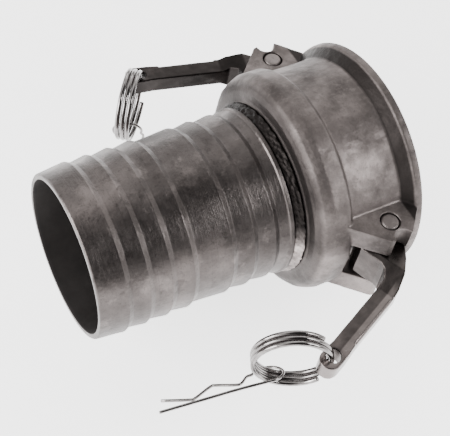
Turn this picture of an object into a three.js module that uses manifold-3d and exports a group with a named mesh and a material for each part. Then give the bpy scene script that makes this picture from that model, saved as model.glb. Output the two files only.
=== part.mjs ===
// Three inch cam and groove coupler with a ribbed hose shank, two cam arms,
// pull rings and safety clips. Millimetres.
// +X runs along the flow axis towards the mouth, +Z is parallel to the pivot pins,
// and the origin is the centre of the mouth face.
import * as THREE from 'three';
import { mergeVertices } from 'three/addons/utils/BufferGeometryUtils.js';
import Module from 'manifold-3d';

const wasm = await Module();
wasm.setup();
const { Manifold, Mesh } = wasm;

// ---- driving dimensions -------------------------------------------------
const GAP = 0.3;                 // running gap left between separate pieces
const RING_SIDES = 64;           // facets round the coupling

const LENGTH = 146.5;            // mouth face to hose end
const BODY_REAR = 50.9;          // mouth face to the neck of the casting
const BORE_R = 46.1;             // mouth bore, 92.2 mm for the 91.5 mm adapter
const FRONT_WALL = 2.5;          // casting between step and lip
const REAR_RIM = 5.2;            // thicker casting over the gasket
const LIP_STAND = 7.9;           // lip over the bore
const LIP_LAND = 3.4;            // width of the lip's outer land
const REAR_WALL = 4.0;
const FRONT_R = BORE_R + FRONT_WALL;
const REAR_R = BORE_R + REAR_RIM;
const LIP_R = BORE_R + LIP_STAND;

const GASKET_OD = 2 * BORE_R + 2.3;
const GASKET_ID = 76.2;
const GASKET_T = 6.35;

const SHANK_BORE_R = 34.5;
const SHANK_WALL = 2.7;          // bore to the foot of the barbs
const RIB_RISE = 1.2;
const RIB_CRESTS = [12.4, 22.2, 32.3, 42.5, 60.8, 71.0, 81.2]; // from the hose end
const RIB_DROP = 2.5;            // length of each barb's back slope
const COLLAR_RISE = 1.8;
const COLLAR_BACK = 7.4;         // neck of the casting to the far edge of the collar
const COLLAR_W = 2.2;
const NECK_RISE = 2.6;
const SHANK_ROOT_R = SHANK_BORE_R + SHANK_WALL;
const SHANK_END_R = SHANK_ROOT_R - 0.2;
const SHANK_CREST_R = SHANK_ROOT_R + RIB_RISE;
const COLLAR_R = SHANK_ROOT_R + COLLAR_RISE;
const NECK_R = SHANK_CREST_R + NECK_RISE;

const PIN_X = 18.6;              // mouth face to the pivot centre
const PIN_OUT = 5.1;             // mouth bore to the pivot centre
const PIN_R = 4.1;
const PIN_Y = BORE_R + PIN_OUT;
const EAR_GAP = 10.3;            // half the opening between a pair of ear plates
const EAR_THICK = 11.3;
const EAR_PAST_PIN = 9.8;
const EAR_NOTCH_R = 4.3;
const EAR_TOP = EAR_GAP + EAR_THICK;
const EAR_REACH = PIN_Y + EAR_PAST_PIN;
const SLOT_AHEAD = 9.4;          // arm window, ahead of and behind the pivot
const SLOT_BEHIND = 15.6;
const SLOT_FRONT = PIN_X - SLOT_AHEAD;
const SLOT_BACK = PIN_X + SLOT_BEHIND;
const STEP_X = SLOT_BACK + 0.2;  // mouth face to the step

const ARM_PLAY = 0.6;            // side clearance of the cam head in its ears
const ARM_HEAD_Z = EAR_GAP - ARM_PLAY;
const ARM_Z = 4.2;               // half width of the handle
const ARM_INNER = 11.3;          // pivot to the handle's inner face
const ARM_T = 8.4;
const ARM_REACH = 60.2;          // pivot to the ring hole, along the handle
const ARM_HOLE_OFF = 15.4;       // pivot to the ring hole, across the handle
const ARM_TIP_EXTRA = 2.2;       // ring hole to the centre of the rounded end
const ARM_BEVEL = 0.9;           // bevel along the outer edges of the handle
const CAM_NOSE = 10.5;
const CAM_FLAT = 5.3;
const FRONT_ARM_DEG = 24.2;      // handle swung out from the flow axis
const BACK_ARM_DEG = 13.2;

const RING_R = 16.1;             // mean radius of the pull ring
const RING_WIRE = 2.2;
const RING_PITCH = RING_WIRE + 0.14;
const RING_SIT = -0.4;           // how far the wire sits past the hole centre
const RING_FROM = 47;            // turns run between these angles round the ring
const RING_TO = 1040;
const FRONT_RING_DEG = 153.0;    // plan direction from hole to ring centre
const BACK_RING_DEG = 230.5;
const ARM_HOLE_R = RING_WIRE / 2 + 2.2;
const ARM_BOSS_R = ARM_HOLE_R + 1.4;

const CLIP_WIRE = 1.3;
const CLIP_EYE_R = 3 * RING_PITCH - 0.22; // mean radius of the safety clip's eye
const CLIP_LEG = 44;
const FRONT_CLIP_AT = 30;        // place round the ring, from its lowest point
const BACK_CLIP_AT = 8;
const CLIP_WAVE = [               // place along the leg, height over the straight leg
  [0.19, 8.6],
  [0.28, 4.4],
  [0.34, 4.4],
  [0.5, 9],
  [0.56, 9],
  [0.75, 3.2],
  [0.81, 3.2],
  [1.04, 9.2],
];

// ---- materials ----------------------------------------------------------
const casting = new THREE.MeshStandardMaterial({ color: 0x8f8884, metalness: 0.9, roughness: 0.42 });
const turned = new THREE.MeshStandardMaterial({ color: 0x857e7a, metalness: 0.9, roughness: 0.38 });
const bead = new THREE.MeshStandardMaterial({ color: 0x6f6964, metalness: 0.9, roughness: 0.55 });
const darkSteel = new THREE.MeshStandardMaterial({ color: 0x45423f, metalness: 0.9, roughness: 0.3 });
const springWire = new THREE.MeshStandardMaterial({ color: 0xb9b6b2, metalness: 1.0, roughness: 0.18 });
const nitrile = new THREE.MeshStandardMaterial({ color: 0x161616, metalness: 0.0, roughness: 0.75 });

// ---- helpers ------------------------------------------------------------
const rad = (deg) => deg * Math.PI / 180;

function signedVolume(geometry) {
  const p = geometry.attributes.position;
  const idx = geometry.index;
  const a = new THREE.Vector3();
  const b = new THREE.Vector3();
  const c = new THREE.Vector3();
  let sum = 0;
  for (let i = 0; i < idx.count; i += 3) {
    a.fromBufferAttribute(p, idx.getX(i));
    b.fromBufferAttribute(p, idx.getX(i + 1));
    c.fromBufferAttribute(p, idx.getX(i + 2));
    sum += a.dot(b.cross(c)) / 6;
  }
  return sum;
}

// A plain indexed shell with shared corners, facing outwards.
function shell(geometry) {
  let g = geometry.clone();
  for (const name of Object.keys(g.attributes)) {
    if (name !== 'position') g.deleteAttribute(name);
  }
  g = mergeVertices(g, 1e-4);
  const kept = [];
  const idx = g.index.array;
  for (let i = 0; i < idx.length; i += 3) {
    const [a, b, c] = [idx[i], idx[i + 1], idx[i + 2]];
    if (a !== b && b !== c && c !== a) kept.push(a, b, c);
  }
  g.setIndex(kept);
  if (signedVolume(g) < 0) {
    for (let i = 0; i < kept.length; i += 3) {
      [kept[i + 1], kept[i + 2]] = [kept[i + 2], kept[i + 1]];
    }
    g.setIndex(kept);
  }
  return g;
}

function solid(geometry) {
  const g = shell(geometry);
  const mesh = new Mesh({
    numProp: 3,
    vertProperties: new Float32Array(g.attributes.position.array),
    triVerts: new Uint32Array(g.index.array),
  });
  mesh.merge();
  return new Manifold(mesh);
}

function geometryOf(manifold) {
  const m = manifold.getMesh();
  const pos = new Float32Array(m.numVert * 3);
  for (let i = 0; i < m.numVert; i += 1) {
    for (let k = 0; k < 3; k += 1) pos[3 * i + k] = m.vertProperties[m.numProp * i + k];
  }
  const g = new THREE.BufferGeometry();
  g.setAttribute('position', new THREE.BufferAttribute(pos, 3));
  g.setIndex(Array.from(m.triVerts));
  return g;
}

function named(name, geometry, material) {
  const g = shell(geometry);
  g.computeVertexNormals();
  const mesh = new THREE.Mesh(g, material);
  mesh.name = name;
  return mesh;
}

// A closed profile of [x, radius] corners turned about the flow axis.
function turnedRing(profile, sides = RING_SIDES) {
  const pts = profile.map(([x, r]) => new THREE.Vector2(r, x));
  pts.push(pts[0].clone());
  const g = new THREE.LatheGeometry(pts, sides);
  g.rotateZ(-Math.PI / 2);
  return g;
}

// A plan outline of [x, y] corners raised between two heights.
function plate(outline, z0, z1, holes = []) {
  const shape = new THREE.Shape(outline.map(([x, y]) => new THREE.Vector2(x, y)));
  for (const h of holes) shape.holes.push(new THREE.Path(h.map(([x, y]) => new THREE.Vector2(x, y))));
  const g = new THREE.ExtrudeGeometry(shape, { depth: z1 - z0, bevelEnabled: false });
  g.translate(0, 0, z0);
  return g;
}

function arc(cx, cy, r, a0, a1, n) {
  const out = [];
  for (let i = 0; i <= n; i += 1) {
    const a = rad(a0 + (a1 - a0) * i / n);
    out.push([cx + r * Math.cos(a), cy + r * Math.sin(a)]);
  }
  return out;
}

function upright(x, y, r, z0, z1, sides = 40) {
  const g = new THREE.CylinderGeometry(r, r, z1 - z0, sides);
  g.rotateX(Math.PI / 2);
  g.translate(x, y, (z0 + z1) / 2);
  return g;
}

function block(x0, x1, y0, y1, z0, z1) {
  const g = new THREE.BoxGeometry(x1 - x0, y1 - y0, z1 - z0);
  g.translate((x0 + x1) / 2, (y0 + y1) / 2, (z0 + z1) / 2);
  return g;
}

// Round wire swept along a list of points.
function wire(points, diameter, steps, sides = 8) {
  const path = new THREE.CatmullRomCurve3(points, false, 'centripetal');
  const shape = new THREE.Shape();
  for (let i = 0; i < sides; i += 1) {
    const a = 2 * Math.PI * i / sides;
    const x = diameter / 2 * Math.cos(a);
    const y = diameter / 2 * Math.sin(a);
    if (i === 0) shape.moveTo(x, y);
    else shape.lineTo(x, y);
  }
  shape.closePath();
  return new THREE.ExtrudeGeometry(shape, { steps, extrudePath: path, bevelEnabled: false });
}

// ---- coupler body -------------------------------------------------------
function bodyProfile() {
  const back = -BODY_REAR;
  const pocket = GASKET_OD / 2 + GAP;
  const seat = back + REAR_WALL;
  const shoulder = back + 8;
  return [
    [back, SHANK_CREST_R + GAP],
    [back, NECK_R - 0.6],
    [back + 0.5, NECK_R],
    [back + 0.8, NECK_R + 4.0],
    [back + 2.0, REAR_R - 3.9],
    [back + 3.7, REAR_R - 1.9],
    [shoulder - 2.0, REAR_R - 0.7],
    [shoulder, REAR_R],
    [-STEP_X - 1.2, REAR_R],
    [-STEP_X - 0.2, REAR_R - 0.7],
    [-STEP_X + 0.6, FRONT_R + 0.4],
    [-STEP_X + 1.6, FRONT_R],
    [-8.9, FRONT_R],
    [-8.0, FRONT_R + 0.5],
    [-LIP_LAND - 0.5, LIP_R - 1.1],
    [-LIP_LAND, LIP_R - 0.5],
    [-0.7, LIP_R],
    [0, LIP_R - 0.7],
    [0, BORE_R + 0.9],
    [-0.9, BORE_R],
    [seat + GASKET_T + 0.9, BORE_R],
    [seat + GASKET_T + 0.3, pocket],
    [seat, pocket],
    [seat, SHANK_CREST_R + GAP],
  ];
}

// Plan of one ear plate on the +Y side.
function earOutline() {
  const notchX = -PIN_X + 1.3;
  const notchY = EAR_REACH - 0.4;
  const start = [
    [-LIP_LAND, BORE_R - 4],
    [-LIP_LAND, LIP_R - 4],
    [notchX + EAR_NOTCH_R + 0.7, EAR_REACH - 1.2],
  ];
  const notch = arc(notchX, notchY, EAR_NOTCH_R, -5, -175, 12);
  const end = [
    [notchX - EAR_NOTCH_R - 0.4, EAR_REACH],
    [-PIN_X - 5.2, EAR_REACH - 0.4],
    [-SLOT_BACK - 3.0, FRONT_R - 1.2],
    [-SLOT_BACK - 4.0, BORE_R - 0.5],
    [-SLOT_BACK - 1.0, BORE_R - 4],
  ];
  return [...start, ...notch, ...end];
}

function couplerBody() {
  const bore = solid(turnedRing([
    [-BODY_REAR + REAR_WALL, 0.01],
    [-BODY_REAR + REAR_WALL, BORE_R],
    [5, BORE_R],
    [5, 0.01],
  ]));
  let body = solid(turnedRing(bodyProfile()));
  const ears = [];
  for (const side of [1, -1]) {
    const outline = earOutline().map(([x, y]) => [x, side * y]);
    for (const [z0, z1] of [[EAR_GAP, EAR_TOP], [-EAR_TOP, -EAR_GAP]]) {
      ears.push(solid(plate(outline, z0, z1)));
    }
  }
  const earSet = Manifold.union(ears).subtract(bore);
  body = body.add(earSet);
  const cuts = [];
  for (const side of [1, -1]) {
    const y0 = side > 0 ? BORE_R - 12 : -EAR_REACH - 6;
    const y1 = side > 0 ? EAR_REACH + 6 : -BORE_R + 12;
    cuts.push(solid(block(-SLOT_BACK, -SLOT_FRONT, y0, y1, -EAR_GAP, EAR_GAP)));
    cuts.push(solid(upright(-PIN_X, side * PIN_Y, PIN_R + GAP, -EAR_TOP - 1, EAR_TOP + 1)));
  }
  body = body.subtract(Manifold.union(cuts));
  return named('coupler_body', geometryOf(body), casting);
}

// ---- hose shank ---------------------------------------------------------
function shankProfile() {
  const x0 = -LENGTH;
  const out = [[x0, SHANK_END_R - 0.5], [x0 + 0.5, SHANK_END_R]];
  const collar = -BODY_REAR - COLLAR_BACK;
  const room = collar - x0 - RIB_DROP - 1;
  for (const crest of RIB_CRESTS.filter((c) => c < room)) {
    out.push([x0 + crest - 0.5, SHANK_CREST_R - 0.1]);
    out.push([x0 + crest, SHANK_CREST_R]);
    out.push([x0 + crest + RIB_DROP, SHANK_ROOT_R]);
  }
  out.push([collar, COLLAR_R - 0.7]);
  out.push([collar + 0.5, COLLAR_R]);
  out.push([collar + COLLAR_W, COLLAR_R]);
  out.push([collar + COLLAR_W + 0.4, SHANK_ROOT_R]);
  out.push([-BODY_REAR - 0.4, SHANK_ROOT_R]);
  out.push([-BODY_REAR, SHANK_CREST_R]);
  out.push([-BODY_REAR + REAR_WALL, SHANK_CREST_R]);
  out.push([-BODY_REAR + REAR_WALL, SHANK_BORE_R]);
  out.push([x0, SHANK_BORE_R]);
  return out;
}

function hoseShank() {
  return named('hose_shank', turnedRing(shankProfile(), 56), turned);
}

// Rough fillet of weld metal that closes the corner between shank and neck.
function weldBead() {
  const x1 = -BODY_REAR - GAP;
  const x0 = -BODY_REAR - COLLAR_BACK + COLLAR_W + 0.4 + GAP;
  const g = turnedRing([
    [x0, SHANK_ROOT_R + GAP],
    [x0 + 0.2, SHANK_ROOT_R + 1.0],
    [(x0 + x1) / 2, NECK_R - 1.5],
    [x1 - 0.6, NECK_R - 0.4],
    [x1, NECK_R - 0.9],
    [x1, SHANK_ROOT_R + GAP],
  ], 60);
  const p = g.attributes.position;
  for (let i = 0; i < p.count; i += 1) {
    const y = p.getY(i);
    const z = p.getZ(i);
    const r = Math.hypot(y, z);
    if (r > SHANK_ROOT_R + 0.7) {
      const a = Math.atan2(z, y);
      const k = 1 + 0.006 * Math.sin(23 * a) + 0.004 * Math.sin(9 * a + 1);
      p.setY(i, y * k);
      p.setZ(i, z * k);
    }
  }
  return named('weld_bead', g, bead);
}

// ---- gasket -------------------------------------------------------------
function gasket() {
  const x0 = -BODY_REAR + REAR_WALL + GAP;
  const ri = GASKET_ID / 2;
  const ro = GASKET_OD / 2;
  return named('gasket', turnedRing([
    [x0, ri + 0.4],
    [x0, ro - 0.4],
    [x0 + 0.4, ro],
    [x0 + GASKET_T - 0.7, ro],
    [x0 + GASKET_T - 0.3, ro - 0.4],
    [x0 + GASKET_T - 0.3, ri + 0.4],
    [x0 + GASKET_T - 0.7, ri],
    [x0 + 0.4, ri],
  ], 60), nitrile);
}

// ---- cam arm ------------------------------------------------------------
// Drawn with the pivot at the origin, the handle along +X and outwards along +Y.
function armOutline() {
  const outer = ARM_INNER + ARM_T;
  const tipX = ARM_REACH + ARM_TIP_EXTRA;
  const head = [
    [ARM_HEAD_Z + 1.6, -4.5],
    [ARM_HEAD_Z + 1.6, 6.0],
    [ARM_HEAD_Z + 2.8, 8.8],
    [ARM_HEAD_Z + 6.3, ARM_INNER],
  ];
  const inner = [
    [ARM_REACH - 6.0, ARM_INNER],
    [ARM_REACH - 2.0, ARM_HOLE_OFF - ARM_BOSS_R + 0.2],
  ];
  const tip = arc(tipX, ARM_HOLE_OFF, ARM_BOSS_R, -84, 90, 12);
  const outerSide = [
    [ARM_REACH - 4.2, ARM_HOLE_OFF + ARM_BOSS_R],
    [ARM_REACH - 10.2, outer],
    [22.0, outer],
    [16.0, outer - 0.4],
    [10.0, outer - 2.2],
    [3.0, outer - 5.9],
    [-3.4, 9.0],
  ];
  const cam = [
    [-CAM_FLAT, 5.0],
    [-CAM_FLAT, -4.0],
    [-CAM_FLAT + 1.0, -7.4],
    [-1.6, -CAM_NOSE + 0.8],
    [1.8, -CAM_NOSE],
    [5.6, -CAM_NOSE + 0.8],
    [8.8, -CAM_NOSE + 2.8],
  ];
  return [...head, ...inner, ...tip, ...outerSide, ...cam];
}

function armSolid() {
  const outer = ARM_INNER + ARM_T;
  const far = ARM_REACH + 30;
  const tall = solid(plate(armOutline(), -ARM_HEAD_Z, ARM_HEAD_Z));
  const shave = [];
  for (const s of [1, -1]) {
    // the wide cam head narrows into the slim handle
    const neck = plate([
      [9, s * ARM_HEAD_Z],
      [20, s * ARM_Z],
      [far, s * ARM_Z],
      [far, s * (ARM_HEAD_Z + 2)],
      [9, s * (ARM_HEAD_Z + 2)],
    ], -60, 60);
    neck.rotateX(Math.PI / 2);
    shave.push(solid(neck));
    // long bevel on the outer edge of the handle
    const bevel = plate([
      [outer - ARM_BEVEL, s * (ARM_Z + 0.01)],
      [outer + 0.01, s * (ARM_Z - ARM_BEVEL)],
      [outer + 3, s * (ARM_Z - ARM_BEVEL)],
      [outer + 3, s * (ARM_Z + 0.01)],
    ], 22, ARM_REACH - 10.2);
    bevel.applyMatrix4(new THREE.Matrix4().makeBasis(
      new THREE.Vector3(0, 1, 0),
      new THREE.Vector3(0, 0, 1),
      new THREE.Vector3(1, 0, 0),
    ));
    shave.push(solid(bevel));
  }
  shave.push(solid(upright(0, 0, PIN_R + GAP, -ARM_HEAD_Z - 1, ARM_HEAD_Z + 1)));
  shave.push(solid(upright(ARM_REACH, ARM_HOLE_OFF, ARM_HOLE_R, -ARM_Z - 1, ARM_Z + 1, 32)));
  return tall.subtract(Manifold.union(shave));
}

// Side is -1 for the front arm and +1 for the back arm; deg is the swing outwards.
function armPlan(side, deg) {
  const a = rad(180 + (side < 0 ? deg : -deg));
  const along = new THREE.Vector3(Math.cos(a), Math.sin(a), 0);
  const across = new THREE.Vector3(-along.y, along.x, 0).multiplyScalar(side < 0 ? 1 : -1);
  const origin = new THREE.Vector3(-PIN_X, side * PIN_Y, 0);
  return { along, across, origin };
}

function camArm(name, side, deg) {
  const { along, across, origin } = armPlan(side, deg);
  const g = geometryOf(armSolid());
  const m = new THREE.Matrix4().makeBasis(along, across, new THREE.Vector3(0, 0, 1));
  m.setPosition(origin);
  g.applyMatrix4(m);
  return named(name, g, darkSteel);
}

function pivotPin(name, side) {
  const c = 0.5;
  const pts = [
    [0, -EAR_TOP],
    [PIN_R - c, -EAR_TOP],
    [PIN_R, -EAR_TOP + c],
    [PIN_R, EAR_TOP - c],
    [PIN_R - c, EAR_TOP],
    [0, EAR_TOP],
  ].map(([r, y]) => new THREE.Vector2(r, y));
  const g = new THREE.LatheGeometry(pts, 40);
  g.rotateX(Math.PI / 2);
  g.translate(-PIN_X, side * PIN_Y, 0);
  return named(name, g, turned);
}

// ---- pull ring ----------------------------------------------------------
function holeCentre(side, deg) {
  const { along, across, origin } = armPlan(side, deg);
  return origin.clone()
    .addScaledVector(along, ARM_REACH)
    .addScaledVector(across, ARM_HOLE_OFF);
}

// Frame of a ring: centre, direction away from the hole, and stacking direction.
function ringFrame(side, deg, planDeg) {
  const out = new THREE.Vector3(Math.cos(rad(planDeg)), Math.sin(rad(planDeg)), 0);
  const centre = holeCentre(side, deg).addScaledVector(out, RING_R - RING_SIT);
  const stack = new THREE.Vector3(out.y, -out.x, 0);
  return { out, centre, stack };
}

function pullRing(name, side, deg, planDeg) {
  const { out, centre, stack } = ringFrame(side, deg, planDeg);
  const pts = [];
  const n = 90;
  for (let i = 0; i <= n; i += 1) {
    const t = RING_FROM + (RING_TO - RING_FROM) * i / n;
    const a = rad(t);
    const shift = RING_PITCH * ((RING_TO + RING_FROM) / 2 - t) / 360;
    pts.push(centre.clone()
      .addScaledVector(out, -RING_R * Math.cos(a))
      .addScaledVector(new THREE.Vector3(0, 0, 1), RING_R * Math.sin(a))
      .addScaledVector(stack, shift));
  }
  return named(name, wire(pts, RING_WIRE, 112, 8), springWire);
}

// ---- safety clip --------------------------------------------------------
// place is measured round the ring from its lowest point, away from the hole.
function clipSeat(ring, place) {
  const a = rad(place);
  const up = new THREE.Vector3(0, 0, 1);
  const centre = ring.centre.clone()
    .addScaledVector(ring.out, RING_R * Math.sin(a))
    .addScaledVector(up, -RING_R * Math.cos(a));
  const tangent = ring.out.clone().multiplyScalar(Math.cos(a)).addScaledVector(up, Math.sin(a));
  return { centre, tangent };
}

// The clip is one length of wire: a straight leg, a round eye and a waved leg.
function safetyClip(name, centre, along, normal) {
  const x = along.clone().normalize();
  const z = normal.clone().addScaledVector(x, -normal.dot(x)).normalize();
  const y = new THREE.Vector3().crossVectors(z, x);
  const flat = [];
  const e = CLIP_EYE_R;
  for (const k of [1.12, 0.85, 0.6, 0.35]) flat.push([CLIP_LEG * k, -e * 0.86, 0]);
  for (let i = 0; i <= 12; i += 1) {
    const a = rad(-78 - 248 * i / 12);
    flat.push([e * Math.cos(a), e * Math.sin(a), 0.02 * i]);
  }
  for (const [k, rise] of CLIP_WAVE) flat.push([CLIP_LEG * k, -e * 0.86 + rise, 0]);
  const pts = flat.map(([u, v, w]) => centre.clone()
    .addScaledVector(x, u)
    .addScaledVector(y, v)
    .addScaledVector(z, w));
  return named(name, wire(pts, CLIP_WIRE, 76, 6), springWire);
}

// ---- assembly -----------------------------------------------------------
const group = new THREE.Group();
group.name = 'camlock_coupler';
group.add(couplerBody(), hoseShank(), weldBead(), gasket());
const sides = [
  ['front', -1, FRONT_ARM_DEG, FRONT_RING_DEG, FRONT_CLIP_AT, [-1, 0.13, 0], [0, -0.634, -0.773]],
  ['back', 1, BACK_ARM_DEG, BACK_RING_DEG, BACK_CLIP_AT, [0.68, -0.2, -0.7], [-0.694, -0.706, 0.139]],
];
for (const [label, side, deg, ringDeg, place, along, normal] of sides) {
  group.add(camArm(`cam_arm_${label}`, side, deg));
  group.add(pivotPin(`pivot_pin_${label}`, side));
  group.add(pullRing(`pull_ring_${label}`, side, deg, ringDeg));
  const seat = clipSeat(ringFrame(side, deg, ringDeg), place);
  group.add(safetyClip(
    `safety_clip_${label}`,
    seat.centre,
    new THREE.Vector3(...along),
    new THREE.Vector3(...normal),
  ));
}
export default group;
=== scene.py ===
"""Camlock coupler with a ribbed hose shank: smooth shapes, metal finishes, light and camera."""

import math

import bmesh
import bpy
import numpy as np
from mathutils import Matrix, Vector, noise


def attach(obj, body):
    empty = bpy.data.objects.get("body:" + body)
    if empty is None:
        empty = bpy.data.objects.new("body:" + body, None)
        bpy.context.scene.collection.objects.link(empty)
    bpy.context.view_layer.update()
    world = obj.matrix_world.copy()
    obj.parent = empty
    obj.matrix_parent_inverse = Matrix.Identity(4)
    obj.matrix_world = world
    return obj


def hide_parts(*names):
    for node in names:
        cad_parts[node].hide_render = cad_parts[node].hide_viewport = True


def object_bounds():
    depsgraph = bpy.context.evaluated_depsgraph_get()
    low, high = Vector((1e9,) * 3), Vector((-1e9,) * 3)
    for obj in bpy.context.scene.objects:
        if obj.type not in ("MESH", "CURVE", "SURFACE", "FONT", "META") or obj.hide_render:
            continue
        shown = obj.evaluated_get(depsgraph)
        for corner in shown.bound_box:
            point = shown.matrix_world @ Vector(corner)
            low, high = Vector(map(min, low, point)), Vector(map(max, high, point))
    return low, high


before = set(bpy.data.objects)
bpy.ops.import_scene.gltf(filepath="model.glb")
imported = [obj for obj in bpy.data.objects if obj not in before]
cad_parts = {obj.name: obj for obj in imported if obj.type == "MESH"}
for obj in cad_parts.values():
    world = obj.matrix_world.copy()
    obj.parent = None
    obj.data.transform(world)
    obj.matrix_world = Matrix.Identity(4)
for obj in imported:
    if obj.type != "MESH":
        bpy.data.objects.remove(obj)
CAD_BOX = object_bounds()
MM = 0.001

# ---- dimensions in millimetres, the same as the CAD model --------------------
LENGTH = 146.5
BODY_REAR = 50.9
BORE_R = 46.1
LIP_R = 54.0
FRONT_R = 48.6
REAR_R = 51.3
STEP_X = 34.4
NECK_R = 41.0
REAR_WALL = 4.0
SEAT_GAP = 0.3
GASKET_OD = 94.5
GASKET_ID = 76.2
GASKET_T = 6.35
SHANK_BORE_R = 34.5
SHANK_END_R = 37.0
SHANK_CREST_R = 38.4
SHANK_ROOT_R = 37.2
RIB_CRESTS = (12.4, 22.2, 32.3, 42.5, 60.8, 71.0, 81.2)
RIB_LAND = 2.5
COLLAR_X = 88.2
COLLAR_R = 39.0
WELD_X = 91.1
WELD_INNER_R = 37.5
PIN_X = 18.6
PIN_Y = 51.2
PIN_R = 4.1
PIN_CHAMFER = 0.7
PIN_HOLE_R = 4.55
EAR_TOP = 21.6
EAR_GAP = 10.3
EAR_REACH = 61.0
NOTCH_R = 4.3
WINDOW_X = (-34.2, -9.2)
WINDOW_Y = (34.1, 67.0)
ARM_REACH = 60.2
ARM_HOLE_OFF = 15.4
RING_R = 16.1
RING_WIRE = 2.2
RING_PITCH = 2.34
RING_SIT = -0.4
RING_FROM = 47
RING_TO = 1040
CLIP_WIRE = 1.3
CLIP_EYE_R = 6.8
CLIP_LEG = 44
CLIP_STRAIGHT = (1.12, 0.85, 0.6, 0.35)     # places along the straight leg, in shares of CLIP_LEG
CLIP_WAVE = (                               # the waved leg: place, height over the straight leg
    (0.19, 8.6), (0.28, 4.4), (0.34, 4.4), (0.5, 9),
    (0.56, 9), (0.75, 3.2), (0.81, 3.2), (1.04, 9.2),
)
CLIP_EYE_START = -78                        # degrees round the eye
CLIP_EYE_TURN = 248

# ---- how fine the soft-edged meshes are, in millimetres ------------------------
CAST_VOXEL = 0.5
ARM_VOXEL = 0.34
SOFT_PASSES = 2

# ---- each side of the coupler: its sign in Y and its arm's and ring's angles in degrees ----
FRONT = dict(side=-1, deg=24.2, plan=153.0)
BACK = dict(side=1, deg=13.2, plan=230.5)
FRONT_CLIP = dict(place=30, along=(-1, 0.13, 0), normal=(0, -0.634, -0.773))
BACK_CLIP = dict(place=8, along=(0.68, -0.2, -0.7), normal=(-0.694, -0.706, 0.139))
# The front handle's tip is painted lighter in a patch round this point.
ARM_LIGHT_TIP = (-71.0, -91.0, 0)
# Painted highlight: a light strip along the front handle that stands in for a reflection; where it starts
# and how light it is.
ARM_HIGHLIGHT_FROM = 16.0                       # from the pin, out across the handle
ARM_HIGHLIGHT_TONE = 0.17

# ---- light and camera, in metres and watts ---------------------------------------
FLOOR_HALF = 3.0
FLOOR_DROP = 0.0002
FLOOR_GLOW = 2.5
SOFTBOXES = (                               # name, place, aim, width, height, power
    ("back", (0.30, 0.60, 0.42), (-0.06, 0, 0), 0.6, 0.3, 1.2),
    ("left", (-0.75, 0.05, 0.30), (-0.07, 0, 0), 0.6, 0.4, 9.0),
    ("key", (0.15, -0.25, 0.24), (-0.02, -0.03, 0.03), 0.10, 0.22, 0.95),
)
SKY_AXIS = (0.20, -0.60, 0.77)
SKY_STOPS = ((0.0, 1.0), (0.42, 1.9), (0.79, 0.05))     # place along the axis, brightness
CAMERA_LENS = 84.454
CAMERA_PLACE = (-0.243635, -0.229758, 0.375771)
CAMERA_AXES = (                             # right, up and back
    (0.874851, -0.469342, 0.119803),
    (0.320489, 0.746299, 0.583374),
    (-0.363211, -0.471970, 0.803319),
)


# ---- mesh helpers ---------------------------------------------------------------
def mesh_object(name, verts, faces):
    mesh = bpy.data.meshes.new(name)
    mesh.from_pydata([Vector(v) * MM for v in verts], [], faces)
    bm = bmesh.new()
    bm.from_mesh(mesh)
    bmesh.ops.remove_doubles(bm, verts=bm.verts, dist=1e-7)
    bmesh.ops.recalc_face_normals(bm, faces=bm.faces)
    for f in bm.faces:
        f.smooth = True
    bm.to_mesh(mesh)
    bm.free()
    obj = bpy.data.objects.new(name, mesh)
    bpy.context.scene.collection.objects.link(obj)
    return obj


def rounded(profile, radius, n=4):
    """The closed profile with every corner rounded by up to radius."""
    out = []
    count = len(profile)
    for i in range(count):
        a, b, c = (Vector(profile[(i + k) % count]) for k in (-1, 0, 1))
        cut = min(radius, 0.42 * (a - b).length, 0.42 * (c - b).length)
        p = b + (a - b).normalized() * cut
        q = b + (c - b).normalized() * cut
        for k in range(n + 1):
            t = k / n
            out.append(tuple((1 - t) ** 2 * p + 2 * t * (1 - t) * b + t * t * q))
    return out


def split_long(profile, step):
    """Extra points along the long edges of a closed profile."""
    out = []
    for i, a in enumerate(profile):
        b = profile[(i + 1) % len(profile)]
        n = max(1, int(math.dist(a, b) / step))
        out += [(a[0] + (b[0] - a[0]) * k / n, a[1] + (b[1] - a[1]) * k / n) for k in range(n)]
    return out


def lathe(name, profile, segments, wobble=None):
    """A closed (x, radius) profile turned about X. wobble(x, r, angle) gives a change of radius."""
    verts, faces = [], []
    n = len(profile)
    for s in range(segments):
        a = 2 * math.pi * s / segments
        for x, r in profile:
            rr = r + (wobble(x, r, a) if wobble else 0)
            verts.append((x, rr * math.cos(a), rr * math.sin(a)))
    for s in range(segments):
        t = (s + 1) % segments
        for i in range(n):
            j = (i + 1) % n
            faces.append((s * n + i, s * n + j, t * n + j, t * n + i))
    return mesh_object(name, verts, faces)


def prism(name, outline, z0, z1):
    """A plate of the (x, y) outline between two heights."""
    n = len(outline)
    verts = [(x, y, z) for z in (z0, z1) for x, y in outline]
    faces = [tuple(range(n)), tuple(range(n, 2 * n))]
    faces += [(i, (i + 1) % n, n + (i + 1) % n, n + i) for i in range(n)]
    return mesh_object(name, verts, faces)


def circle(cx, cy, r, a0, a1, n):
    angles = [math.radians(a0 + (a1 - a0) * k / n) for k in range(n + 1)]
    return [(cx + r * math.cos(a), cy + r * math.sin(a)) for a in angles]


def bake(obj):
    """Applies the modifiers of obj to its mesh."""
    bpy.context.view_layer.update()
    graph = bpy.context.evaluated_depsgraph_get()
    old = obj.data
    obj.data = bpy.data.meshes.new_from_object(obj.evaluated_get(graph))
    obj.modifiers.clear()
    bpy.data.meshes.remove(old)
    for p in obj.data.polygons:
        p.use_smooth = True
    return obj


def boolean(obj, tools, operation):
    """Joins the tools to obj or cuts them from it, and removes them."""
    for tool in tools:
        m = obj.modifiers.new("cut", "BOOLEAN")
        m.operation = operation
        m.solver = "MANIFOLD"
        m.object = tool
    bake(obj)
    for tool in tools:
        bpy.data.objects.remove(tool)
    return obj


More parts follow.
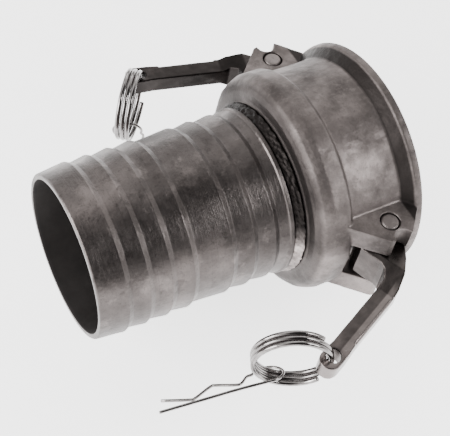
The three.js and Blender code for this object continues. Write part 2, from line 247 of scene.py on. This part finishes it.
def softened(obj, voxel, passes):
    """A fine even mesh of obj whose edges are rounded like a casting's."""
    m = obj.modifiers.new("grid", "REMESH")
    m.mode = "VOXEL"
    m.voxel_size = voxel * MM
    m.use_smooth_shade = True
    s = obj.modifiers.new("soft", "SMOOTH")
    s.factor = 0.5
    s.iterations = passes
    return bake(obj)


def roughen(obj, size, depth, keep=None):
    """Moves each vertex along its normal by soft noise, for a cast skin."""
    count = len(obj.data.vertices)
    co = np.empty(count * 3)
    normal = np.empty(count * 3)
    obj.data.vertices.foreach_get("co", co)
    obj.data.vertices.foreach_get("normal", normal)
    co = co.reshape(-1, 3)
    push = np.empty(count)
    for i, p in enumerate(co):
        q = Vector(p) / (size * MM)
        push[i] = noise.noise(q) + 0.5 * noise.noise(q * 2.1)
        if keep:
            push[i] *= keep(p / MM)
    co += normal.reshape(-1, 3) * (push * depth * MM)[:, None]
    obj.data.vertices.foreach_set("co", co.ravel())
    obj.data.update()


def tube(name, points, radius, per=6, sides=16):
    """A round wire through the points, with domed ends."""
    line = []
    pts = [2 * points[0] - points[1]] + list(points) + [2 * points[-1] - points[-2]]
    for i in range(1, len(pts) - 2):
        a, b, c, d = pts[i - 1], pts[i], pts[i + 1], pts[i + 2]
        for k in range(per):
            t = k / per
            bend = (2 * a - 5 * b + 4 * c - d) * t * t + (3 * b - a - 3 * c + d) * t ** 3
            line.append(0.5 * (2 * b + (c - a) * t + bend))
    line.append(pts[-2])
    verts, faces, rings = [], [], 0
    up = None
    last = len(line) - 1
    for i, p in enumerate(line):
        d = (line[min(i + 1, last)] - line[max(i - 1, 0)]).normalized()
        up = (up - d * up.dot(d)).normalized() if up else d.orthogonal().normalized()
        side = d.cross(up)
        spots = [(0.0, 1.0)]
        if i == 0:
            spots = [(-0.35, 0.0), (-0.33, 0.45), (-0.2, 0.82), (0.0, 1.0)]
        elif i == last:
            spots = [(0.0, 1.0), (0.2, 0.82), (0.33, 0.45), (0.35, 0.0)]
        for shift, size in spots:
            c = p + d * radius * shift
            for k in range(sides):
                a = 2 * math.pi * k / sides
                verts.append(c + (up * math.cos(a) + side * math.sin(a)) * radius * size)
            rings += 1
    for i in range(rings - 1):
        for k in range(sides):
            j = (k + 1) % sides
            faces.append((i * sides + k, i * sides + j, (i + 1) * sides + j, (i + 1) * sides + k))
    return mesh_object(name, verts, faces)


# ---- shapes -------------------------------------------------------------------------
def coupler_body():
    back = -BODY_REAR
    pocket = GASKET_OD / 2 + SEAT_GAP
    socket = SHANK_CREST_R + SEAT_GAP
    seat = back + REAR_WALL
    shoulder = back + 8
    outline = [
        (back, socket),
        (back, NECK_R - 0.6),
        (back + 0.5, NECK_R),
        (back + 0.8, NECK_R + 4.0),
        (back + 2.0, REAR_R - 3.9),
        (back + 3.7, REAR_R - 1.9),
        (shoulder - 2.0, REAR_R - 0.7),
        (shoulder, REAR_R),
        (-STEP_X - 1.2, REAR_R),
        (-STEP_X - 0.2, REAR_R - 0.7),
        (-STEP_X + 0.6, FRONT_R + 0.4),
        (-STEP_X + 1.6, FRONT_R),
        (-8.9, FRONT_R),
        (-8.0, FRONT_R + 0.5),
        (-3.9, LIP_R - 1.1),
        (-3.4, LIP_R - 0.5),
        (-0.7, LIP_R),
        (0, LIP_R - 0.7),
        (0, BORE_R + 0.9),
        (-0.9, BORE_R),
        (seat + GASKET_T + 0.9, BORE_R),
        (seat + GASKET_T + 0.3, pocket),
        (seat, pocket),
        (seat, socket),
    ]
    body = lathe("coupler_casting", outline, 224)
    bore = lathe("bore_tool", [(seat, 0.2), (seat, BORE_R), (5, BORE_R), (5, 0.2)], 224)
    nx, ny = -PIN_X + 1.3, EAR_REACH - 0.4
    ear = [(-3.4, BORE_R - 4), (-3.4, LIP_R - 4), (nx + 5.0, EAR_REACH - 1.2)]
    ear += circle(nx, ny, NOTCH_R, -5, -175, 16)
    ear += [
        (nx - 4.7, EAR_REACH),
        (-PIN_X - 5.2, EAR_REACH - 0.4),
        (-37.2, 47.4),
        (-38.2, 45.6),
        (-35.2, BORE_R - 4),
    ]
    for side in (1, -1):
        for z0, z1 in ((EAR_GAP, EAR_TOP), (-EAR_TOP, -EAR_GAP)):
            plate = prism("ear_tool", [(x, side * y) for x, y in ear], z0, z1)
            boolean(body, [plate], "UNION")
    boolean(body, [bore], "DIFFERENCE")
    for side in (1, -1):
        x0, x1 = WINDOW_X
        y0, y1 = sorted(side * y for y in WINDOW_Y)
        window = prism("window_tool", [(x0, y0), (x1, y0), (x1, y1), (x0, y1)], -EAR_GAP, EAR_GAP)
        rim = circle(-PIN_X, side * PIN_Y, PIN_HOLE_R, 0, 354, 59)
        hole = prism("hole_tool", rim, -EAR_TOP - 1.4, EAR_TOP + 1.4)
        boolean(body, [window, hole], "DIFFERENCE")
    softened(body, CAST_VOXEL, SOFT_PASSES)

    def cast(p):
        machined = p[0] > -1.0 or math.hypot(p[1], p[2]) < BORE_R + 0.5
        return 0.15 if machined else 1.0

    roughen(body, 9, 0.22, cast)
    roughen(body, 2.2, 0.05, cast)
    return body


def hose_shank():
    x0 = -LENGTH
    outline = [(x0, SHANK_END_R - 0.5), (x0 + 0.5, SHANK_END_R)]
    for crest in RIB_CRESTS:
        outline.append((x0 + crest - 0.6, SHANK_CREST_R - 0.1))
        outline.append((x0 + crest, SHANK_CREST_R))
        outline.append((x0 + crest + RIB_LAND, SHANK_ROOT_R))
    outline += [
        (x0 + COLLAR_X, COLLAR_R - 0.7),
        (x0 + COLLAR_X + 0.5, COLLAR_R),
        (x0 + COLLAR_X + 2.2, COLLAR_R),
        (x0 + COLLAR_X + 2.6, SHANK_ROOT_R),
        (-BODY_REAR - 0.4, SHANK_ROOT_R),
        (-BODY_REAR, SHANK_CREST_R - 0.05),
        (-BODY_REAR + REAR_WALL, SHANK_CREST_R - 0.05),
        (-BODY_REAR + REAR_WALL, SHANK_BORE_R),
        (x0, SHANK_BORE_R),
    ]
    outline = split_long(rounded(outline, 0.14, 2), 1.0)

    def wobble(x, r, a):
        if r < SHANK_BORE_R + 0.6 or x > -BODY_REAR - 0.5:
            return 0.0
        p = Vector((x * 0.12, 4.5 * math.cos(a), 4.5 * math.sin(a)))
        soft = 0.10 * noise.noise(p)
        crest = min(abs(x - x0 - c) for c in RIB_CRESTS)
        nick = 0.0
        if crest < 0.5:
            k = noise.noise(Vector((x * 0.3, 22 * math.cos(a), 22 * math.sin(a))))
            nick = 0.28 * max(0.0, k - 0.25) - 0.35 * max(0.0, -k - 0.42)
        return soft + nick

    return lathe("ribbed_shank", outline, 320, wobble)


def weld_bead():
    x0, x1 = -LENGTH + WELD_X, -BODY_REAR - 0.3
    outline = [
        (x0, WELD_INNER_R),
        (x0 + 0.2, 38.2),
        ((x0 + x1) / 2, NECK_R - 1.7),
        (x1 - 0.6, NECK_R - 0.7),
        (x1, NECK_R - 1.1),
        (x1, WELD_INNER_R),
    ]
    outline = split_long(rounded(outline, 0.5, 4), 0.4)

    def wobble(x, r, a):
        if r < WELD_INNER_R + 0.3:
            return 0.0
        p = Vector((x * 0.9, 26 * math.cos(a), 26 * math.sin(a)))
        return 0.6 * noise.noise(p) + 0.3 * noise.noise(p * 2.3) - 0.2

    return lathe("weld_seam", outline, 360, wobble)


def gasket():
    x0 = -BODY_REAR + REAR_WALL + SEAT_GAP
    x1 = x0 + GASKET_T - SEAT_GAP
    inner, outer = GASKET_ID / 2, GASKET_OD / 2
    outline = [(x0, inner), (x0, outer), (x1, outer), (x1, inner)]
    return lathe("flat_gasket", rounded(outline, 0.6, 4), 160)


def smooth_arm(node, name):
    """A fine, round-edged copy of the arm's CAD solid."""
    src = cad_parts[node]
    arm = bpy.data.objects.new(name, src.data.copy())
    bpy.context.scene.collection.objects.link(arm)
    arm.data.materials.clear()
    bm = bmesh.new()
    bm.from_mesh(arm.data)
    bmesh.ops.remove_doubles(bm, verts=bm.verts, dist=1e-6)
    bm.to_mesh(arm.data)
    bm.free()
    softened(arm, ARM_VOXEL, SOFT_PASSES)
    roughen(arm, 7, 0.10)
    return arm


def pivot_pin(name, side):
    c = PIN_CHAMFER
    outline = [(-EAR_TOP, 0), (-EAR_TOP, PIN_R - c), (-EAR_TOP + c, PIN_R)]
    outline += [(EAR_TOP - c, PIN_R), (EAR_TOP, PIN_R - c), (EAR_TOP, 0)]
    pin = lathe(name, split_long(rounded(outline, 0.25, 3), 1.0), 64)
    turn = Matrix.Rotation(-math.pi / 2, 4, "Y")
    pin.data.transform(Matrix.Translation(Vector((-PIN_X, side * PIN_Y, 0)) * MM) @ turn)
    return pin


def arm_axes(side, deg):
    """Unit vectors along a handle and out across it."""
    a = math.radians(180 - side * deg)
    along = Vector((math.cos(a), math.sin(a), 0))
    across = Vector((-along.y, along.x, 0)) * -side
    return along, across


def ring_place(side, deg, plan):
    """A ring's centre, and the way it leans out from its arm's hole."""
    along, across = arm_axes(side, deg)
    hole = Vector((-PIN_X, side * PIN_Y, 0)) + along * ARM_REACH + across * ARM_HOLE_OFF
    out = Vector((math.cos(math.radians(plan)), math.sin(math.radians(plan)), 0))
    return hole + out * (RING_R - RING_SIT), out


def pull_ring(name, side, deg, plan):
    centre, out = ring_place(side, deg, plan)
    stack = Vector((out.y, -out.x, 0))
    up = Vector((0, 0, 1))
    pts = []
    for i in range(121):
        t = RING_FROM + (RING_TO - RING_FROM) * i / 120
        a = math.radians(t)
        shift = RING_PITCH * ((RING_TO + RING_FROM) / 2 - t) / 360
        pts.append(centre - out * (RING_R * math.cos(a)) + up * (RING_R * math.sin(a)) + stack * shift)
    return tube(name, pts, RING_WIRE / 2, per=3, sides=20)


def safety_clip(name, side, deg, plan, place, along, normal):
    ring, out = ring_place(side, deg, plan)
    a = math.radians(place)
    centre = ring + out * (RING_R * math.sin(a)) - Vector((0, 0, RING_R * math.cos(a)))
    x = Vector(along).normalized()
    z = (Vector(normal) - x * x.dot(Vector(normal))).normalized()
    y = z.cross(x)
    e = CLIP_EYE_R
    leg = -e * 0.86
    flat = [(CLIP_LEG * k, leg, 0) for k in CLIP_STRAIGHT]
    for i in range(13):
        t = math.radians(CLIP_EYE_START - CLIP_EYE_TURN * i / 12)
        flat.append((e * math.cos(t), e * math.sin(t), 0.02 * i))
    flat += [(CLIP_LEG * k, leg + rise, 0) for k, rise in CLIP_WAVE]
    pts = [centre + x * u + y * v + z * w for u, v, w in flat]
    return tube(name, pts, CLIP_WIRE / 2, per=6, sides=14)


# ---- finishes -------------------------------------------------------------------------
class Graph:
    """Short calls for building a material's nodes."""

    def __init__(self, name):
        self.mat = bpy.data.materials.new(name)
        self.mat.use_nodes = True
        self.tree = self.mat.node_tree
        self.shader = self.tree.nodes["Principled BSDF"]
        self.coord = self.tree.nodes.new("ShaderNodeTexCoord").outputs["Object"]

    def node(self, kind, **values):
        n = self.tree.nodes.new(kind)
        for k, v in values.items():
            setattr(n, k, v)
        return n

    def link(self, a, b):
        self.tree.links.new(a, b)

    def spread(self, scale):
        m = self.node("ShaderNodeMapping")
        m.inputs["Scale"].default_value = scale
        self.link(self.coord, m.inputs["Vector"])
        return m.outputs["Vector"]

    def cloud(self, scale, detail=4.0, rough=0.55, stretch=(1, 1, 1)):
        n = self.node("ShaderNodeTexNoise")
        n.inputs["Scale"].default_value = scale
        n.inputs["Detail"].default_value = detail
        n.inputs["Roughness"].default_value = rough
        self.link(self.spread(stretch), n.inputs["Vector"])
        return n.outputs["Fac"]

    def cells(self, scale):
        n = self.node("ShaderNodeTexVoronoi")
        n.inputs["Scale"].default_value = scale
        self.link(self.coord, n.inputs["Vector"])
        return n.outputs["Distance"]

    def ramp(self, fac, stops):
        r = self.node("ShaderNodeValToRGB")
        el = r.color_ramp.elements
        while len(el) < len(stops):
            el.new(0.5)
        for e, (pos, col) in zip(el, stops):
            e.position = pos
            e.color = (*col, 1) if len(col) == 3 else col
        self.link(fac, r.inputs["Fac"])
        return r.outputs["Color"]

    def span(self, fac, a0, a1, b0, b1):
        m = self.node("ShaderNodeMapRange")
        for i, v in zip((1, 2, 3, 4), (a0, a1, b0, b1)):
            m.inputs[i].default_value = v
        self.link(fac, m.inputs[0])
        return m.outputs[0]

    def band(self, axis, a, b):
        """0 before a and 1 after b along one axis, in metres."""
        n = self.node("ShaderNodeSeparateXYZ")
        self.link(self.coord, n.inputs[0])
        return self.span(n.outputs[axis], a, b, 0.0, 1.0)

    def maths(self, op, a, b):
        m = self.node("ShaderNodeMath", operation=op)
        for i, v in enumerate((a, b)):
            if isinstance(v, (int, float)):
                m.inputs[i].default_value = v
            else:
                self.link(v, m.inputs[i])
        return m.outputs[0]

    def tint(self, a, b, fac, mode="MIX"):
        m = self.node("ShaderNodeMix", data_type="RGBA", blend_type=mode)
        for i, v in ((6, a), (7, b)):
            if isinstance(v, tuple):
                m.inputs[i].default_value = (*v, 1)
            else:
                self.link(v, m.inputs[i])
        if isinstance(fac, (int, float)):
            m.inputs[0].default_value = fac
        else:
            self.link(fac, m.inputs[0])
        return m.outputs[2]

    def bump(self, height, distance, strength=1.0, after=None):
        b = self.node("ShaderNodeBump")
        b.inputs["Distance"].default_value = distance
        b.inputs["Strength"].default_value = strength
        self.link(height, b.inputs["Height"])
        if after is not None:
            self.link(after, b.inputs["Normal"])
        return b.outputs["Normal"]


def grey(v, warm=0.11):
    """A metal grey, a little warm and pink."""
    return (v * (1 + warm), v * (1 - 0.3 * warm), v * (1 - 0.65 * warm))


def casting_finish():
    g = Graph("cast_stainless")
    clouds = g.cloud(55, 6, 0.6)
    fine = g.cloud(420, 5, 0.6)
    stain = g.cloud(24, 3, 0.5)
    base = g.ramp(clouds, [(0.32, grey(0.065)), (0.5, grey(0.125)), (0.66, grey(0.205))])
    base = g.tint(base, grey(0.11, 0.12), g.span(stain, 0.54, 0.70, 0.0, 0.6))
    base = g.tint(base, grey(0.2), g.span(fine, 0.5, 0.75, 0.0, 0.4))
    base = g.tint(base, grey(0.07), g.span(g.cloud(900, 3, 0.6), 0.55, 0.75, 0.0, 0.5))
    pit = g.span(g.cells(330), 0.05, 0.13, 1.0, 0.0)
    spots = g.maths("MULTIPLY", pit, g.span(g.cloud(120, 2), 0.58, 0.66, 0.0, 1.0))
    base = g.tint(base, grey(0.1), g.maths("MULTIPLY", spots, 0.7))
    # Painted shade: the recess behind the lip and the neck at the rear are tinted near black where shadow
    # falls.
    recess_painted_shade = g.maths("MULTIPLY", g.band("X", -0.0090, -0.0080), g.band("X", -0.0037, -0.0043))
    neck_painted_shade = g.band("X", -0.0470, -0.0488)
    dark = g.maths("MAXIMUM", recess_painted_shade, g.maths("MULTIPLY", neck_painted_shade, 0.7))
    base = g.tint(base, grey(0.02, 0.12), g.maths("MULTIPLY", dark, 0.96))
    g.link(base, g.shader.inputs["Base Color"])
    g.shader.inputs["Metallic"].default_value = 1.0
    g.link(g.span(clouds, 0.3, 0.75, 0.56, 0.40), g.shader.inputs["Roughness"])
    n = g.bump(g.cloud(900, 4, 0.65), 0.00016, 0.7)
    n = g.bump(g.cloud(230, 3, 0.5), 0.0003, 0.4, n)
    n = g.bump(g.cloud(60, 3, 0.5), 0.0008, 0.35, n)
    n = g.bump(g.maths("SUBTRACT", 1.0, spots), 0.00012, 0.4, n)
    g.link(n, g.shader.inputs["Normal"])
    return g.mat


def turned_finish(name, low, mid, high, rough):
    g = Graph(name)
    clouds = g.cloud(42, 6, 0.62)
    rings = g.cloud(14, 4, 0.6, (130, 1.5, 1.5))
    blotch = g.cloud(90, 5, 0.65)
    base = g.ramp(clouds, [(0.3, grey(low, 0.11)), (0.5, grey(mid, 0.10)), (0.7, grey(high))])
    base = g.tint(base, grey(mid * 0.6, 0.07), g.span(rings, 0.55, 0.75, 0.0, 0.35))
    base = g.tint(base, grey(high * 1.25), g.span(blotch, 0.56, 0.68, 0.0, 0.5))
    base = g.tint(base, grey(low * 0.45, 0.12), g.span(g.cloud(150, 5, 0.7), 0.56, 0.70, 0.0, 0.5))
    base = g.tint(base, grey(low * 0.4), g.span(g.cloud(1000, 3, 0.6), 0.55, 0.75, 0.0, 0.4))
    g.link(base, g.shader.inputs["Base Color"])
    g.shader.inputs["Metallic"].default_value = 1.0
    g.link(g.span(blotch, 0.3, 0.7, rough + 0.08, rough - 0.06), g.shader.inputs["Roughness"])
    n = g.bump(g.cloud(14, 3, 0.7, (300, 2, 2)), 0.00010, 0.8)
    n = g.bump(g.cloud(700, 4, 0.6), 0.00016, 0.7, n)
    n = g.bump(g.cloud(180, 4, 0.6), 0.00035, 0.5, n)
    g.link(n, g.shader.inputs["Normal"])
    return g.mat


def weld_finish():
    g = Graph("weld_metal")
    clouds = g.cloud(160, 5, 0.65)
    base = g.ramp(clouds, [(0.3, grey(0.10)), (0.55, grey(0.28)), (0.75, grey(0.5))])
    # Painted shade: above Z 4 to 16 mm the weld is tinted near black for the shadow in the gap between
    # shank and body; it is painted shade, not oxide scale.
    scale = g.band("Z", 0.004, 0.016)
    g.link(g.tint(base, grey(0.018), scale), g.shader.inputs["Base Color"])
    g.shader.inputs["Metallic"].default_value = 1.0
    g.link(g.span(clouds, 0.3, 0.7, 0.55, 0.38), g.shader.inputs["Roughness"])
    g.link(g.bump(g.cloud(420, 4, 0.7), 0.0004, 0.9), g.shader.inputs["Normal"])
    return g.mat


def arm_finish(name, light_tip=None, painted_shade_factor=1.0, painted_highlight=None):
    g = Graph(name)
    clouds = g.cloud(80, 5, 0.6)
    worn = g.cloud(26, 4, 0.55)
    tones = [(0.3, 0.035), (0.55, 0.065), (0.75, 0.12)]
    # painted_shade_factor darkens a copy of this steel for an arm in shade.
    base = g.ramp(clouds, [(at, grey(v * painted_shade_factor)) for at, v in tones])
    base = g.tint(base, grey(0.22 * painted_shade_factor), g.span(worn, 0.58, 0.72, 0.0, 0.4))
    # Painted highlight: a light strip along the handle, out past a set reach from the pin and between two X
    # bands, standing in for a reflection.
    if painted_highlight:
        pivot, across, low, high = painted_highlight
        off = g.node("ShaderNodeVectorMath", operation="SUBTRACT")
        off.inputs[1].default_value = Vector(pivot) * MM
        g.link(g.coord, off.inputs[0])
        reach = g.node("ShaderNodeVectorMath", operation="DOT_PRODUCT")
        reach.inputs[1].default_value = across
        g.link(off.outputs["Vector"], reach.inputs[0])
        inside = g.span(reach.outputs["Value"], low * MM, (low + 0.5) * MM, 0.0, 1.0)
        ends = g.maths("MULTIPLY", g.band("X", -0.066, -0.062), g.band("X", -0.022, -0.028))
        base = g.tint(base, grey(high), g.maths("MULTIPLY", inside, ends))
    # Painted lighter patch within about 6 to 8 mm of the tip point.
    if light_tip:
        far = g.node("ShaderNodeVectorMath", operation="DISTANCE")
        far.inputs[1].default_value = Vector(light_tip) * MM
        g.link(g.coord, far.inputs[0])
        base = g.tint(base, grey(0.2), g.span(far.outputs["Value"], 0.0055, 0.0085, 0.8, 0.0))
    g.link(base, g.shader.inputs["Base Color"])
    g.shader.inputs["Metallic"].default_value = 1.0
    g.link(g.span(clouds, 0.3, 0.7, 0.30, 0.20), g.shader.inputs["Roughness"])
    n = g.bump(g.cloud(300, 3, 0.5), 0.0002, 0.35)
    g.link(n, g.shader.inputs["Normal"])
    return g.mat


def wire_finish():
    g = Graph("drawn_wire")
    clouds = g.cloud(260, 4, 0.6)
    base = g.ramp(clouds, [(0.3, grey(0.15, 0.05)), (0.6, grey(0.27, 0.04)), (0.8, grey(0.4, 0.03))])
    g.link(base, g.shader.inputs["Base Color"])
    g.shader.inputs["Metallic"].default_value = 1.0
    g.link(g.span(clouds, 0.3, 0.7, 0.22, 0.12), g.shader.inputs["Roughness"])
    g.link(g.bump(g.cloud(1400, 3, 0.6), 0.00003, 0.5), g.shader.inputs["Normal"])
    return g.mat


def rubber_finish():
    g = Graph("nitrile_rubber")
    clouds = g.cloud(300, 4, 0.6)
    g.link(g.ramp(clouds, [(0.3, grey(0.010)), (0.7, grey(0.022))]), g.shader.inputs["Base Color"])
    g.link(g.span(clouds, 0.3, 0.7, 0.62, 0.8), g.shader.inputs["Roughness"])
    g.link(g.bump(g.cloud(1200, 3), 0.00005, 0.5), g.shader.inputs["Normal"])
    return g.mat


# Painted shade: a near-black copy of the steel for the shade inside the shank's bore.
def bore_shade_material():
    g = Graph("bore_painted_shade")
    clouds = g.cloud(60, 5, 0.6)
    g.link(g.ramp(clouds, [(0.3, grey(0.018, 0.1)), (0.7, grey(0.04, 0.1))]), g.shader.inputs["Base Color"])
    g.shader.inputs["Metallic"].default_value = 0.6
    g.link(g.span(clouds, 0.3, 0.7, 0.6, 0.5), g.shader.inputs["Roughness"])
    g.link(g.bump(g.cloud(500, 3), 0.0001, 0.5), g.shader.inputs["Normal"])
    return g.mat


# ---- assembly ---------------------------------------------------------------------------
def fit(obj, material, body, slot, *nodes):
    obj.data.materials.clear()
    obj.data.materials.append(material)
    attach(obj, body)
    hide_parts(*nodes)
    return obj


# Painted light and shade: the casting, shank and pins get different base tones to follow the light on each
# part, not a difference in the steel.
casting_steel = casting_finish()
shank_steel = turned_finish("turned_stainless", 0.055, 0.095, 0.155, 0.36)
pin_steel = turned_finish("pin_stainless", 0.10, 0.16, 0.23, 0.42)
wire_steel = wire_finish()
front_across = arm_axes(FRONT["side"], FRONT["deg"])[1]
front_painted_highlight = ((-PIN_X, -PIN_Y, 0), front_across, ARM_HIGHLIGHT_FROM, ARM_HIGHLIGHT_TONE)
arm_steel = {
    "front": arm_finish("front_arm_steel", ARM_LIGHT_TIP, painted_highlight=front_painted_highlight),
    # Painted shade: the back arm is the same steel at 0.35 of the front arm's tones, darker for the shade
    # on its side.
    "back": arm_finish("back_arm_steel", painted_shade_factor=0.35),
}

fit(coupler_body(), casting_steel, "coupler", "casting", "coupler_body")
shank = fit(hose_shank(), shank_steel, "coupler", "turned_steel", "hose_shank")
# The faces inside the shank bore take the painted shade material.
shank.data.materials.append(bore_shade_material())
for poly in shank.data.polygons:
    if math.hypot(poly.center.y, poly.center.z) < (SHANK_BORE_R + 0.25) * MM:
        poly.material_index = 1
fit(weld_bead(), weld_finish(), "coupler", "weld", "weld_bead")
fit(gasket(), rubber_finish(), "coupler", "nitrile", "gasket")
sides = (("front", FRONT, FRONT_CLIP), ("back", BACK, BACK_CLIP))
for label, where, hang in sides:
    arm = smooth_arm(f"cam_arm_{label}", f"arm_{label}")
    fit(arm, arm_steel[label], f"{label}_arm", "arm_steel", f"cam_arm_{label}")
    pin = pivot_pin(f"pin_{label}", where["side"])
    fit(pin, pin_steel, "coupler", "pin_steel", f"pivot_pin_{label}")
    ring = pull_ring(f"ring_{label}", **where)
    fit(ring, wire_steel, f"{label}_ring", "spring_wire", f"pull_ring_{label}")
for label, where, hang in sides:
    clip = safety_clip(f"clip_{label}", **where, **hang)
    fit(clip, wire_steel, f"{label}_clip", "spring_wire", f"safety_clip_{label}")


# ---- floor, light and camera ----------------------------------------------------------------
def floor():
    z = CAD_BOX[0][2] - FLOOR_DROP
    mesh = bpy.data.meshes.new("floor")
    s = FLOOR_HALF
    mesh.from_pydata([(-s, -s, z), (s, -s, z), (s, s, z), (-s, s, z)], [], [(0, 1, 2, 3)])
    obj = bpy.data.objects.new("floor", mesh)
    bpy.context.scene.collection.objects.link(obj)
    g = Graph("white_paper")
    g.shader.inputs["Base Color"].default_value = (0.86, 0.86, 0.86, 1)
    g.shader.inputs["Roughness"].default_value = 0.9
    g.shader.inputs["Emission Color"].default_value = (1, 1, 1, 1)
    g.shader.inputs["Emission Strength"].default_value = FLOOR_GLOW
    mesh.materials.append(g.mat)


def softbox(name, place, aim, width, height, power):
    data = bpy.data.lights.new(name, "AREA")
    data.shape = "RECTANGLE"
    data.size = width
    data.size_y = height
    data.energy = power
    obj = bpy.data.objects.new(name, data)
    bpy.context.scene.collection.objects.link(obj)
    obj.location = place
    obj.rotation_euler = (Vector(aim) - Vector(place)).to_track_quat("-Z", "Y").to_euler()


def sky():
    world = bpy.data.worlds.new("studio")
    bpy.context.scene.world = world
    world.use_nodes = True
    tree = world.node_tree
    coord = tree.nodes.new("ShaderNodeTexCoord")
    dot = tree.nodes.new("ShaderNodeVectorMath")
    dot.operation = "DOT_PRODUCT"
    dot.inputs[1].default_value = Vector(SKY_AXIS).normalized()
    tree.links.new(coord.outputs["Generated"], dot.inputs[0])
    ramp = tree.nodes.new("ShaderNodeValToRGB")
    elements = ramp.color_ramp.elements
    elements.new(0.5)
    for e, (pos, v) in zip(elements, SKY_STOPS):
        e.position = pos
        e.color = (v, v * 0.985, v * 0.97, 1)
    tree.links.new(dot.outputs["Value"], ramp.inputs["Fac"])
    back = tree.nodes["Background"]
    tree.links.new(ramp.outputs["Color"], back.inputs["Color"])
    back.inputs["Strength"].default_value = 1.0


def camera():
    data = bpy.data.cameras.new("camera")
    data.sensor_width = 36.0
    data.lens = CAMERA_LENS
    data.clip_start = 0.01
    obj = bpy.data.objects.new("camera", data)
    bpy.context.scene.collection.objects.link(obj)
    axes = Matrix(CAMERA_AXES).transposed().to_4x4()
    obj.matrix_world = Matrix.Translation(CAMERA_PLACE) @ axes
    bpy.context.scene.camera = obj


floor()
sky()
for box in SOFTBOXES:
    softbox(*box)
camera()
